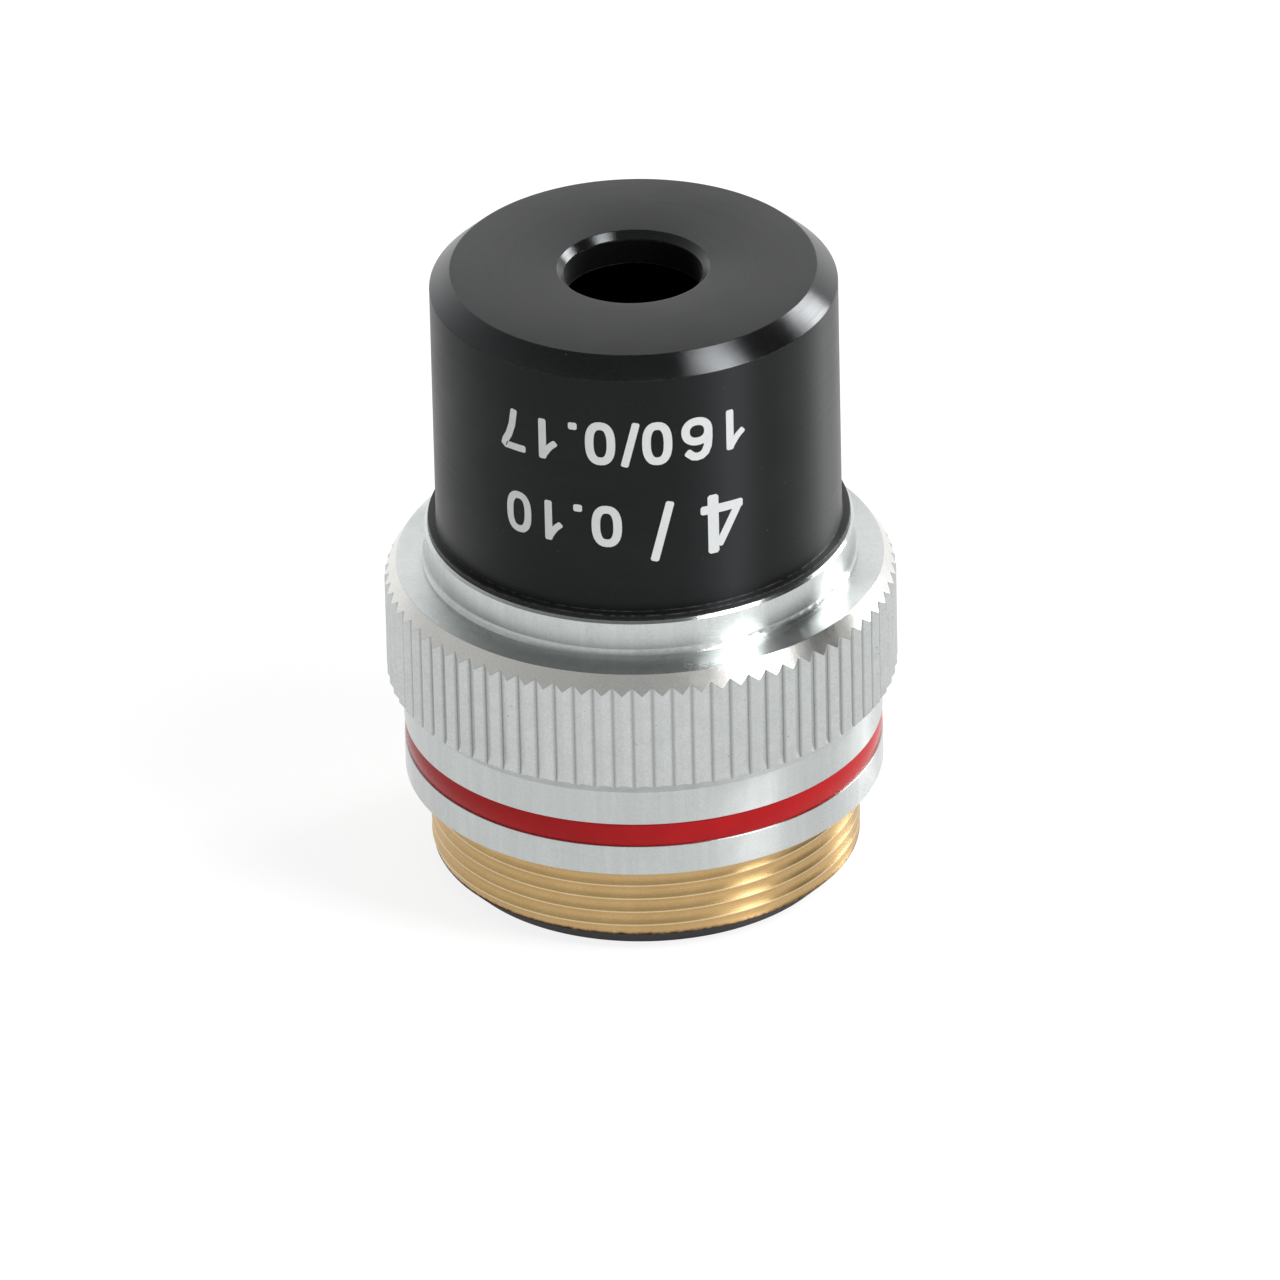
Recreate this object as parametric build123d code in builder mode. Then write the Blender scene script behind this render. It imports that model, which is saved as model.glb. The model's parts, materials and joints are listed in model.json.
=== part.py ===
"""A low-power achromatic microscope objective with a screw thread mount, standing nose up.

Millimetres. The origin is the centre of the rear end of the mount thread, and +Z runs along the
optical axis towards the nose, which faces the specimen. Screwed joints are plain cylinders at
the size of their threads, and each piece seats on a flat shoulder.
"""
import math
import os
from build123d import *

# Clearances between pieces
thread_clearance = 0.05
slide_clearance = 0.03
lens_contact_gap = 0.01
cement_gap = 0.02

# Mount thread, the standard 0.8 inch objective screw
thread_radius = 10.1
shoulder_height = 4.8
lead_chamfer = 0.97
mount_seat_width = 1.05
mount_spigot_length = 3.8
mount_wall = 1.4
spigot_chamfer = 0.3
rear_seat_width = 0.55
rear_seat_depth = 2.0

# Rear stop ring in the end of the mount
rear_stop_thickness = 1.2
rear_stop_width = 2.9
rear_stop_bevel = 0.5

# Grip ring, with its band, colour groove and knurl
shoulder_width = 1.15
band_height = 4.48
band_edge_break = 0.08
groove_foot = 1.56
groove_width = 1.195
groove_depth = 0.4
knurl_rise = 0.75
knurl_depth = 0.23
knurl_teeth = 80
knurl_first_valley = 2.0
knurl_foot_height = 0.79
knurl_length = 4.75
knurl_head_height = 0.9
knurl_head_width = 0.59

# Enamel ring in the colour groove
enamel_edge_sink = 0.1
enamel_crown_sink = 0.02

# Collar sleeve, the body that carries the lens cell and the front barrel
sleeve_foot_gap = 0.4
skirt_wall = 1.0
collar_seat_width = 1.15
lip_height = 0.22
lip_width = 0.15
lip_flare_radius = 0.4
collar_height = 1.99
collar_edge_break = 0.12
barrel_spigot_length = 3.4
sleeve_wall = 1.3
cell_bore_step = 0.37

# Front barrel
barrel_length = 13.29
barrel_foot_inset = 0.04
barrel_foot_width = 0.39
barrel_foot_height = 0.26
barrel_wall = 1.15
barrel_thread_runout = 0.3
barrel_thread_step = 0.35
baffle_seat_height = 6.8
baffle_seat_width = 0.6
nose_wall = 1.6
nose_inner_chamfer = 0.8
nose_chamfer_width = 0.95
nose_chamfer_height = 0.85
nose_bore_radius = 3.21
nose_bore_chamfer = 0.35

# Glare stop inside the barrel
glare_rim_width = 0.9
glare_rim_height = 1.4
glare_web_thickness = 0.4
glare_stop_width = 4.1

# Lens cell and the rings that hold it in the sleeve
shim_thicknesses = (0.1, 0.15, 0.2)
flange_inset = 0.1
flange_thickness = 1.2
cell_wall = 1.3
cell_tail_overhang = 0.6
ledge_thickness = 1.8
ledge_width = 0.43
ledge_flare = 0.8
lock_ring_thickness = 1.4
lock_ring_gap = 0.2
lock_ring_recess = 0.35

# Cemented doublet: crown glass to the rear, flint glass to the front
lens_bore_step = 0.27
crown_edge_thickness = 1.407
flint_thickness = 1.2
rear_curvature = 19.0
cemented_curvature = 14.0
front_curvature = 46.0

# Stack behind the doublet
spacer_wall = 0.5
spacer_length = 1.1
stop_thickness = 0.3
stop_width = 1.15
stop_overhang = 0.1
retaining_ring_thickness = 1.0
retaining_ring_width = 1.1

# Spanner slots in the threaded rings
slot_width = 1.0
slot_depth = 0.5

# Centring screws through the sleeve wall
screw_count = 3
screw_radius = 0.8
screw_edge_distance = 0.3
screw_first_angle = 30
screw_tip_chamfer = 0.35
screw_sink = 0.2
driver_slot_width = 0.3
driver_slot_depth = 0.45

# Radii that follow, from the outside in
band_radius = thread_radius + shoulder_width
knurl_radius = band_radius + knurl_rise
grip_top_radius = knurl_radius - knurl_head_width
grip_bore_radius = thread_radius - mount_seat_width
spigot_radius = grip_bore_radius - thread_clearance
mount_bore_radius = spigot_radius - mount_wall
rear_seat_radius = mount_bore_radius + rear_seat_width
lip_radius = grip_bore_radius + collar_seat_width
collar_radius = lip_radius - lip_width
barrel_foot_radius = collar_radius - collar_edge_break - barrel_foot_inset
barrel_radius = barrel_foot_radius - barrel_foot_width
barrel_thread_radius = barrel_radius - barrel_wall
barrel_spigot_radius = barrel_thread_radius - thread_clearance
barrel_bore_radius = barrel_thread_radius - barrel_thread_step
barrel_front_bore_radius = barrel_bore_radius - baffle_seat_width
glare_hole_radius = barrel_bore_radius - glare_stop_width
sleeve_bore_radius = barrel_spigot_radius - sleeve_wall
cell_bore_radius = sleeve_bore_radius - cell_bore_step
counterbore_radius = spigot_radius - skirt_wall
flange_radius = counterbore_radius - flange_inset
cell_radius = cell_bore_radius - slide_clearance
retaining_bore_radius = cell_radius - cell_wall
lens_bore_radius = retaining_bore_radius - lens_bore_step
lens_radius = lens_bore_radius - slide_clearance
ledge_radius = lens_bore_radius - ledge_width
spacer_bore_radius = lens_radius - spacer_wall

# Heights that follow, from the mount's end up to the nose
mount_spigot_top = shoulder_height + mount_spigot_length
groove_bottom = shoulder_height + groove_foot
groove_top = groove_bottom + groove_width
band_top = shoulder_height + band_height
knurl_foot = band_top + knurl_foot_height
knurl_head = knurl_foot + knurl_length
grip_top = knurl_head + knurl_head_height
lip_top = grip_top + lip_height
flare_rise = math.sqrt(lip_flare_radius**2 - (lip_flare_radius - lip_width) ** 2)
collar_top = grip_top + collar_height
baffle_seat = collar_top + baffle_seat_height
nose_top = collar_top + barrel_length
nose_inside = nose_top - nose_wall

# Heights of the lens cell, from the foot of the sleeve
sleeve_foot = mount_spigot_top + sleeve_foot_gap
flange_bottom = sleeve_foot + lock_ring_recess + lock_ring_thickness
flange_top = flange_bottom + flange_thickness
cell_seat = flange_top + sum(shim_thicknesses)
screw_level = cell_seat + screw_edge_distance + screw_radius
cell_front = screw_level + screw_radius + screw_edge_distance
lens_seat = cell_front - ledge_thickness


def sag(curvature, radius):
    """Depth of a spherical surface at a given distance from the axis."""
    return curvature - math.sqrt(curvature**2 - radius**2)


# Heights of the doublet and of the stack behind it, from the ledge of the cell
rear_sag = sag(rear_curvature, lens_radius)
cemented_sag = sag(cemented_curvature, lens_radius)
front_sag = sag(front_curvature, lens_radius)
front_vertex = lens_seat + sag(front_curvature, ledge_radius) - lens_contact_gap
cemented_vertex = front_vertex - flint_thickness
crown_top = cemented_vertex - cement_gap
rear_vertex = crown_top - cemented_sag - crown_edge_thickness - rear_sag
spacer_top = rear_vertex + sag(rear_curvature, spacer_bore_radius) - lens_contact_gap
stop_top = spacer_top - spacer_length
stop_rear = stop_top - stop_thickness
cell_rear = stop_rear - retaining_ring_thickness - cell_tail_overhang

os.makedirs("parts", exist_ok=True)


def write(part, name):
    """Label a finished piece and write it as its own file."""
    part.label = name
    export_step(part, f"parts/{name}.step")


# Thread mount: threaded outside, open inside, with a spigot that screws into the grip ring
with BuildPart() as thread_mount:
    with BuildSketch(Plane.XZ):
        with BuildLine():
            Polyline(
                (rear_seat_radius, 0),
                (thread_radius - lead_chamfer, 0),
                (thread_radius, lead_chamfer),
                (thread_radius, shoulder_height),
                (spigot_radius, shoulder_height),
                (spigot_radius, mount_spigot_top - spigot_chamfer),
                (spigot_radius - spigot_chamfer, mount_spigot_top),
                (mount_bore_radius, mount_spigot_top),
                (mount_bore_radius, rear_seat_depth),
                (rear_seat_radius, rear_seat_depth),
                close=True,
            )
        make_face()
    revolve(axis=Axis.Z)
write(thread_mount.part, "thread_mount")

# Rear stop ring: seats on the step inside the mount, with a bevelled hole and spanner slots
with BuildPart() as rear_stop_ring:
    with BuildSketch(Plane.XY.offset(rear_seat_depth)):
        Circle(rear_seat_radius - thread_clearance)
        Circle(rear_seat_radius - rear_stop_width, mode=Mode.SUBTRACT)
    extrude(amount=-rear_stop_thickness)
    rear_face = rear_stop_ring.faces().sort_by(Axis.Z)[0]
    chamfer(rear_face.edges().sort_by(SortBy.RADIUS)[0], length=rear_stop_bevel)
    with BuildSketch(Plane.XY.offset(rear_seat_depth - rear_stop_thickness)):
        Rectangle(2 * rear_seat_radius, slot_width)
    extrude(amount=slot_depth, mode=Mode.SUBTRACT)
write(rear_stop_ring.part, "rear_stop_ring")


def knurl_outline():
    """Corners of the straight knurl: sharp ridges with sharp valleys between them."""
    half_tooth = 180 / knurl_teeth
    corners = []
    for step in range(2 * knurl_teeth):
        radius = knurl_radius - knurl_depth * (step % 2 == 0)
        angle = math.radians(knurl_first_valley + step * half_tooth)
        corners.append((radius * math.cos(angle), radius * math.sin(angle)))
    return corners


# Grip ring: the turned blank is cut back to the knurl between its two chamfers
with BuildPart() as grip_ring:
    with BuildSketch(Plane.XZ):
        with BuildLine():
            Polyline(
                (grip_bore_radius, shoulder_height),
                (band_radius - band_edge_break, shoulder_height),
                (band_radius, shoulder_height + band_edge_break),
                (band_radius, groove_bottom),
                (band_radius - groove_depth, groove_bottom),
                (band_radius - groove_depth, groove_top),
                (band_radius, groove_top),
                (band_radius, band_top),
                (knurl_radius, knurl_foot),
                (knurl_radius, knurl_head),
                (grip_top_radius, grip_top),
                (grip_bore_radius, grip_top),
                close=True,
            )
        make_face()
    revolve(axis=Axis.Z)
    with BuildSketch(Plane.XY.offset(band_top)):
        Circle(2 * knurl_radius)
        with BuildLine():
            Polyline(*knurl_outline(), close=True)
        make_face(mode=Mode.SUBTRACT)
    extrude(amount=grip_top - band_top, mode=Mode.SUBTRACT)
write(grip_ring.part, "grip_ring")

# Enamel ring: fills the colour groove with a slightly crowned face
with BuildPart() as colour_ring:
    with BuildSketch(Plane.XZ):
        with BuildLine():
            Polyline(
                (band_radius - enamel_edge_sink, groove_bottom),
                (band_radius - groove_depth + cement_gap, groove_bottom),
                (band_radius - groove_depth + cement_gap, groove_top),
                (band_radius - enamel_edge_sink, groove_top),
            )
            ThreePointArc(
                (band_radius - enamel_edge_sink, groove_top),
                (band_radius - enamel_crown_sink, (groove_bottom + groove_top) / 2),
                (band_radius - enamel_edge_sink, groove_bottom),
            )
        make_face()
    revolve(axis=Axis.Z)
write(colour_ring.part, "colour_ring")

screw_planes = []
for index in range(screw_count):
    angle = math.radians(screw_first_angle + index * 360 / screw_count)
    outward = (math.cos(angle), math.sin(angle), 0)
    foot = (cell_radius + slide_clearance) * Vector(*outward) + Vector(0, 0, screw_level)
    screw_planes.append(Plane(origin=foot, z_dir=outward))

# Collar sleeve: screws into the grip ring from above and carries the barrel on its upper spigot
with BuildPart() as collar_sleeve:
    with BuildSketch(Plane.XZ):
        with BuildLine():
            Polyline(
                (counterbore_radius, sleeve_foot),
                (spigot_radius - spigot_chamfer, sleeve_foot),
                (spigot_radius, sleeve_foot + spigot_chamfer),
                (spigot_radius, grip_top),
                (lip_radius, grip_top),
                (lip_radius, lip_top),
            )
            RadiusArc((lip_radius, lip_top), (collar_radius, lip_top + flare_rise), lip_flare_radius)
            Polyline(
                (collar_radius, lip_top + flare_rise),
                (collar_radius, collar_top - collar_edge_break),
                (collar_radius - collar_edge_break, collar_top),
                (barrel_spigot_radius, collar_top),
                (barrel_spigot_radius, collar_top + barrel_spigot_length - spigot_chamfer),
                (barrel_spigot_radius - spigot_chamfer, collar_top + barrel_spigot_length),
                (sleeve_bore_radius, collar_top + barrel_spigot_length),
                (sleeve_bore_radius, cell_front),
                (cell_bore_radius, cell_front),
                (cell_bore_radius, cell_seat),
                (counterbore_radius, cell_seat),
                (counterbore_radius, sleeve_foot),
            )
        make_face()
    revolve(axis=Axis.Z)
    for plane in screw_planes:
        with BuildSketch(plane):
            Circle(screw_radius + slide_clearance)
        extrude(amount=spigot_radius - cell_radius, both=True, mode=Mode.SUBTRACT)
write(collar_sleeve.part, "collar_sleeve")

# Centring screws: short grub screws whose chamfered tips bear on the lens cell
for index, plane in enumerate(screw_planes, start=1):
    with BuildPart() as centring_screw:
        with BuildSketch(plane):
            Circle(screw_radius)
        extrude(amount=spigot_radius - cell_radius - screw_sink)
        tip, head = centring_screw.faces().filter_by(GeomType.PLANE).sort_by(Axis(plane.origin, plane.z_dir))
        chamfer(tip.edges(), length=screw_tip_chamfer)
        with BuildSketch(Plane(head)):
            Rectangle(3 * screw_radius, driver_slot_width)
        extrude(amount=-driver_slot_depth, mode=Mode.SUBTRACT)
    write(centring_screw.part, f"centring_screw_{index}")

# Front barrel: one turned shell with a foot flange, a chamfered nose and a stepped bore
barrel_thread_top = collar_top + barrel_spigot_length + barrel_thread_runout
with BuildPart() as front_barrel:
    with BuildSketch(Plane.XZ):
        with BuildLine():
            Polyline(
                (barrel_thread_radius, collar_top),
                (barrel_foot_radius, collar_top),
                (barrel_foot_radius, collar_top + barrel_foot_height),
                (barrel_radius, collar_top + barrel_foot_height),
                (barrel_radius, nose_top - nose_chamfer_height),
                (barrel_radius - nose_chamfer_width, nose_top),
                (nose_bore_radius + nose_bore_chamfer, nose_top),
                (nose_bore_radius, nose_top - nose_bore_chamfer),
                (nose_bore_radius, nose_inside),
                (barrel_front_bore_radius - nose_inner_chamfer, nose_inside),
                (barrel_front_bore_radius, nose_inside - nose_inner_chamfer),
                (barrel_front_bore_radius, baffle_seat),
                (barrel_bore_radius, baffle_seat),
                (barrel_bore_radius, barrel_thread_top),
                (barrel_thread_radius, barrel_thread_top),
                close=True,
            )
        make_face()
    revolve(axis=Axis.Z)
write(front_barrel.part, "front_barrel")

# Glare stop: a threaded rim with a thin web that runs to a sharp-edged hole
with BuildPart() as glare_stop:
    glare_outer = barrel_bore_radius - thread_clearance
    with BuildSketch(Plane.XZ):
        with BuildLine():
            Polyline(
                (glare_outer, baffle_seat),
                (glare_outer, baffle_seat - glare_rim_height),
                (glare_outer - glare_rim_width, baffle_seat - glare_rim_height),
                (glare_outer - glare_rim_width, baffle_seat - glare_web_thickness),
                (glare_hole_radius, baffle_seat),
                close=True,
            )
        make_face()
    revolve(axis=Axis.Z)
    with BuildSketch(Plane.XY.offset(baffle_seat - glare_rim_height)):
        Rectangle(2 * barrel_bore_radius, slot_width)
    extrude(amount=slot_depth, mode=Mode.SUBTRACT)
write(glare_stop.part, "glare_stop")

# Parfocal shims: thin washers between the sleeve's seat and the flange of the lens cell
shim_top = cell_seat
for index, thickness in enumerate(shim_thicknesses, start=1):
    with BuildPart() as parfocal_shim:
        with BuildSketch(Plane.XY.offset(shim_top)):
            Circle(flange_radius)
            Circle(cell_bore_radius, mode=Mode.SUBTRACT)
        extrude(amount=-thickness)
    write(parfocal_shim.part, f"parfocal_shim_{index}")
    shim_top -= thickness

# Lens cell: a flanged tube with an inner ledge in front of the doublet and a wider thread behind
with BuildPart() as lens_cell:
    with BuildSketch(Plane.XZ):
        with BuildLine():
            Polyline(
                (retaining_bore_radius, cell_rear),
                (cell_radius, cell_rear),
                (cell_radius, flange_bottom),
                (flange_radius, flange_bottom),
                (flange_radius, flange_top),
                (cell_radius, flange_top),
                (cell_radius, cell_front),
                (ledge_radius + ledge_flare, cell_front),
                (ledge_radius, cell_front - ledge_flare),
                (ledge_radius, lens_seat),
                (lens_bore_radius, lens_seat),
                (lens_bore_radius, stop_rear + stop_overhang),
                (retaining_bore_radius, stop_rear + stop_overhang),
                close=True,
            )
        make_face()
    revolve(axis=Axis.Z)
write(lens_cell.part, "lens_cell")

# Lock ring: clamps the flange of the cell against the shims, with spanner slots at the rear
with BuildPart() as cell_lock_ring:
    with BuildSketch(Plane.XY.offset(flange_bottom)):
        Circle(counterbore_radius - thread_clearance)
        Circle(cell_radius + lock_ring_gap, mode=Mode.SUBTRACT)
    extrude(amount=-lock_ring_thickness)
    with BuildSketch(Plane.XY.offset(flange_bottom - lock_ring_thickness)):
        Rectangle(2 * counterbore_radius, slot_width)
    extrude(amount=slot_depth, mode=Mode.SUBTRACT)
write(cell_lock_ring.part, "cell_lock_ring")

# Crown element: biconvex, its steeper face cemented to the flint
with BuildPart() as crown_element:
    with BuildSketch(Plane.XZ):
        with BuildLine():
            rear_edge = (lens_radius, rear_vertex + rear_sag)
            front_edge = (lens_radius, crown_top - cemented_sag)
            Line((0, crown_top), (0, rear_vertex))
            RadiusArc((0, rear_vertex), rear_edge, -rear_curvature)
            Line(rear_edge, front_edge)
            RadiusArc(front_edge, (0, crown_top), -cemented_curvature)
        make_face()
    revolve(axis=Axis.Z)
write(crown_element.part, "crown_element")

# Flint element: a meniscus whose hollow face fits over the crown
with BuildPart() as flint_element:
    with BuildSketch(Plane.XZ):
        with BuildLine():
            rear_edge = (lens_radius, cemented_vertex - cemented_sag)
            front_edge = (lens_radius, front_vertex - front_sag)
            Line((0, front_vertex), (0, cemented_vertex))
            RadiusArc((0, cemented_vertex), rear_edge, cemented_curvature)
            Line(rear_edge, front_edge)
            RadiusArc(front_edge, (0, front_vertex), -front_curvature)
        make_face()
    revolve(axis=Axis.Z)
write(flint_element.part, "flint_element")

# Stop spacer: bears on the crown with its inner edge and holds the aperture stop off the glass
with BuildPart() as stop_spacer:
    with BuildSketch(Plane.XY.offset(spacer_top)):
        Circle(lens_radius)
        Circle(spacer_bore_radius, mode=Mode.SUBTRACT)
    extrude(amount=-spacer_length)
write(stop_spacer.part, "stop_spacer")

# Aperture stop: a thin disc whose hole sets the numerical aperture
with BuildPart() as aperture_stop:
    with BuildSketch(Plane.XY.offset(stop_top)):
        Circle(lens_radius)
        Circle(lens_radius - stop_width, mode=Mode.SUBTRACT)
    extrude(amount=-stop_thickness)
write(aperture_stop.part, "aperture_stop")

# Retaining ring: threaded, presses the stop, the spacer and the doublet against the ledge
with BuildPart() as lens_retaining_ring:
    with BuildSketch(Plane.XY.offset(stop_rear)):
        Circle(retaining_bore_radius - thread_clearance)
        Circle(retaining_bore_radius - retaining_ring_width, mode=Mode.SUBTRACT)
    extrude(amount=-retaining_ring_thickness)
    with BuildSketch(Plane.XY.offset(stop_rear - retaining_ring_thickness)):
        Rectangle(2 * retaining_bore_radius, slot_width)
    extrude(amount=slot_depth, mode=Mode.SUBTRACT)
write(lens_retaining_ring.part, "lens_retaining_ring")
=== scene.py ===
"""Blender scene of a low-power microscope objective that stands nose up on its mount thread.

The turned pieces that show are rebuilt with broken edges, the mount gets a shallow screw thread, and
every surface gets a procedural material. Lengths are in millimetres up to where MM turns them to metres.
"""
import bmesh
import bpy
import json
import math
from mathutils import Matrix, Vector

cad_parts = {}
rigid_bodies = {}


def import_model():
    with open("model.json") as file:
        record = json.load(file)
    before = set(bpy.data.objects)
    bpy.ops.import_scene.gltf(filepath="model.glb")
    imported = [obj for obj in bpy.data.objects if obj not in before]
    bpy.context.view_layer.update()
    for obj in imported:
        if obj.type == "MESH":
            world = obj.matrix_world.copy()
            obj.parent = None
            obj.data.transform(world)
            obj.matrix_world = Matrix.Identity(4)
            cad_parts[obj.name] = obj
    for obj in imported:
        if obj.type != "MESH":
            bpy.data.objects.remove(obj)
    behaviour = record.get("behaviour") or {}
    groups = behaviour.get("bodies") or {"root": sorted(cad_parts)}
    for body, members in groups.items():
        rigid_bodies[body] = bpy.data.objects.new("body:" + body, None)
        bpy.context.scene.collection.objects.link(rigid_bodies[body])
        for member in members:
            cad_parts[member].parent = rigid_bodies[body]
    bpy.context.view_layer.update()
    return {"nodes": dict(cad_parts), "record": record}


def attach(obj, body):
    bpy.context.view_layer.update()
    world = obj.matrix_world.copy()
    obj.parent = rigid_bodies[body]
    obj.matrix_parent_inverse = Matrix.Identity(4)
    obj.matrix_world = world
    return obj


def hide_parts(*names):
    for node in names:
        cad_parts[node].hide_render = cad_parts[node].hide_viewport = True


for leftover in list(bpy.data.objects):
    bpy.data.objects.remove(leftover)
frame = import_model()
nodes = frame["nodes"]

MM = 0.001

# Camera, at the place that the photograph's circles give
CAMERA_RISE = math.radians(29.7125)
CAMERA_ROLL = math.radians(-1.3465)
CAMERA_DISTANCE = 900 * MM
CAMERA_TARGET = Vector((-0.09, 0, 11.029)) * MM
FOCAL_PIXELS = 19185
IMAGE_PIXELS = 1280
SENSOR_WIDTH = 36
CLIP_START, CLIP_END = 0.05, 20

camera = bpy.data.objects.new("camera", bpy.data.cameras.new("camera"))
bpy.context.scene.collection.objects.link(camera)
camera.data.sensor_width = SENSOR_WIDTH
camera.data.lens = FOCAL_PIXELS * SENSOR_WIDTH / IMAGE_PIXELS
camera.data.clip_start, camera.data.clip_end = CLIP_START, CLIP_END
backward = Vector((0, -math.cos(CAMERA_RISE), math.sin(CAMERA_RISE)))
upward = Vector((0, math.sin(CAMERA_RISE), math.cos(CAMERA_RISE)))
rightward = Vector((1, 0, 0))
side = math.cos(CAMERA_ROLL) * rightward + math.sin(CAMERA_ROLL) * upward
top = -math.sin(CAMERA_ROLL) * rightward + math.cos(CAMERA_ROLL) * upward
turn = Matrix((side, top, backward)).transposed().to_4x4()
camera.matrix_world = Matrix.Translation(CAMERA_TARGET + CAMERA_DISTANCE * backward) @ turn
bpy.context.scene.camera = camera


# Turned pieces
CORNER_POINTS = 4
WELD_REACH = 0.0001
SHARP_ANGLE = math.radians(8)


def broken(corners, size):
    """The closed outline with each corner rounded off by a small edge break."""
    outline = []
    points = [Vector(corner) for corner in corners]
    for index, corner in enumerate(points):
        back = points[index - 1] - corner
        ahead = points[(index + 1) % len(points)] - corner
        first = corner + back.normalized() * min(size, back.length / 3)
        last = corner + ahead.normalized() * min(size, ahead.length / 3)
        for step in range(CORNER_POINTS):
            share = step / (CORNER_POINTS - 1)
            rest = 1 - share
            outline.append(rest * rest * first + 2 * share * rest * corner + share * share * last)
    return outline


def turned(name, outline, azimuths, welded=False):
    """A closed ring whose section at each azimuth is the outline there, as radius and height.

    A welded one comes back to its first azimuth with sections that have moved on by a turn,
    and is closed where its points fall together.
    """
    sections = [outline(azimuth) for azimuth in azimuths]
    rows = len(sections[0])
    vertices = []
    for azimuth, section in zip(azimuths, sections):
        for radius, height in section:
            vertices.append((radius * MM * math.cos(azimuth), radius * MM * math.sin(azimuth), height * MM))
    faces = []
    for column in range(len(azimuths) - welded):
        here = column * rows
        there = (column + 1) % len(azimuths) * rows
        for row in range(rows):
            above = (row + 1) % rows
            faces.append((here + row, there + row, there + above, here + above))
    return piece(name, vertices, faces, welded)


def piece(name, vertices, faces, welded=False):
    """A smooth piece with crisp edges that rides on the objective."""
    mesh = bpy.data.meshes.new(name)
    mesh.from_pydata(vertices, [], faces)
    if welded:
        shape = bmesh.new()
        shape.from_mesh(mesh)
        bmesh.ops.remove_doubles(shape, verts=shape.verts, dist=WELD_REACH * MM)
        shape.to_mesh(mesh)
        shape.free()
    mesh.validate()
    mesh.shade_smooth()
    mesh.set_sharp_from_angle(angle=SHARP_ANGLE)
    made = bpy.data.objects.new(name, mesh)
    bpy.context.scene.collection.objects.link(made)
    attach(made, "root")
    return made


def even_azimuths(count):
    return [math.tau * index / count for index in range(count)]


ROUND = even_azimuths(288)

# Front barrel: chamfered nose, bevelled light hole, foot flange and stepped bore
BARREL_RADIUS = 9.5
BARREL_FOOT = 17.71
FLANGE_RADIUS, FLANGE_HEAD = 9.89, 17.97
NOSE_RADIUS, NOSE_CHAMFER_FOOT, NOSE_TOP = 8.55, 30.15, 31.0
LIGHT_HOLE_RADIUS, LIGHT_HOLE_BEVEL, NOSE_INSIDE = 3.21, 0.35, 29.4
FRONT_CHAMBER_RADIUS, BAFFLE_SEAT = 7.4, 24.51
REAR_CHAMBER_RADIUS, SPIGOT_END = 8.0, 21.41
SPIGOT_RADIUS = 8.35
BARREL_EDGE = 0.05
barrel_outline = broken(
    [
        (SPIGOT_RADIUS, BARREL_FOOT), (FLANGE_RADIUS, BARREL_FOOT), (FLANGE_RADIUS, FLANGE_HEAD),
        (BARREL_RADIUS, FLANGE_HEAD), (BARREL_RADIUS, NOSE_CHAMFER_FOOT), (NOSE_RADIUS, NOSE_TOP),
        (LIGHT_HOLE_RADIUS + LIGHT_HOLE_BEVEL, NOSE_TOP), (LIGHT_HOLE_RADIUS, NOSE_TOP - LIGHT_HOLE_BEVEL),
        (LIGHT_HOLE_RADIUS, NOSE_INSIDE), (6.6, NOSE_INSIDE), (FRONT_CHAMBER_RADIUS, 28.6),
        (FRONT_CHAMBER_RADIUS, BAFFLE_SEAT), (REAR_CHAMBER_RADIUS, BAFFLE_SEAT),
        (REAR_CHAMBER_RADIUS, SPIGOT_END), (SPIGOT_RADIUS, SPIGOT_END),
    ],
    BARREL_EDGE,
)
barrel = turned("barrel_turned", lambda azimuth: barrel_outline, ROUND)
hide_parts("front_barrel")

# Enamel ring: crowned, with its edges drawn down into the groove
GROOVE_FOOT, GROOVE_HEAD = 6.36, 7.555
ENAMEL_ROOT, ENAMEL_EDGE, ENAMEL_CROWN = 10.87, 11.17, 0.06
ENAMEL_MIDDLE, ENAMEL_HALF = 6.9575, 0.59
enamel_face = [
    (ENAMEL_EDGE + ENAMEL_CROWN * math.cos(math.pi / 2 * share), ENAMEL_MIDDLE + ENAMEL_HALF * share)
    for share in (-1, -0.85, -0.6, -0.3, 0, 0.3, 0.6, 0.85, 1)
]
enamel_outline = [(ENAMEL_ROOT, GROOVE_FOOT)] + enamel_face + [(ENAMEL_ROOT, GROOVE_HEAD)]
enamel = turned("enamel_ring", lambda azimuth: enamel_outline, ROUND)
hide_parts("colour_ring")

# Grip ring: band, colour groove and the straight knurl between its two chamfers
TEETH = 80
FIRST_VALLEY = math.radians(2.0)
RIDGE_RADIUS = 12.0
TOOTH_DEPTH = 0.23
RIDGE_WEAR = 0.012
SHOULDER_HEIGHT = 4.8
BAND_RADIUS, BAND_BREAK, BAND_HEAD = 11.25, 0.08, 9.28
GROOVE_RADIUS = 10.85
GRIP_BORE, GRIP_HEAD_RADIUS, GRIP_HEAD = 9.05, 11.41, 15.72
FOOT_CHAMFER_RISE, HEAD_CHAMFER_RISE = 0.79, 0.9
GRIP_EDGE = 0.03


def knurl_radius(azimuth):
    """Radius of the knurl at an azimuth, from the valleys up to the slightly worn ridges."""
    phase = (azimuth - FIRST_VALLEY) * TEETH / math.tau % 1
    rise = 1 - abs(2 * phase - 1)
    return RIDGE_RADIUS - max(TOOTH_DEPTH * (1 - rise), RIDGE_WEAR)


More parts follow.
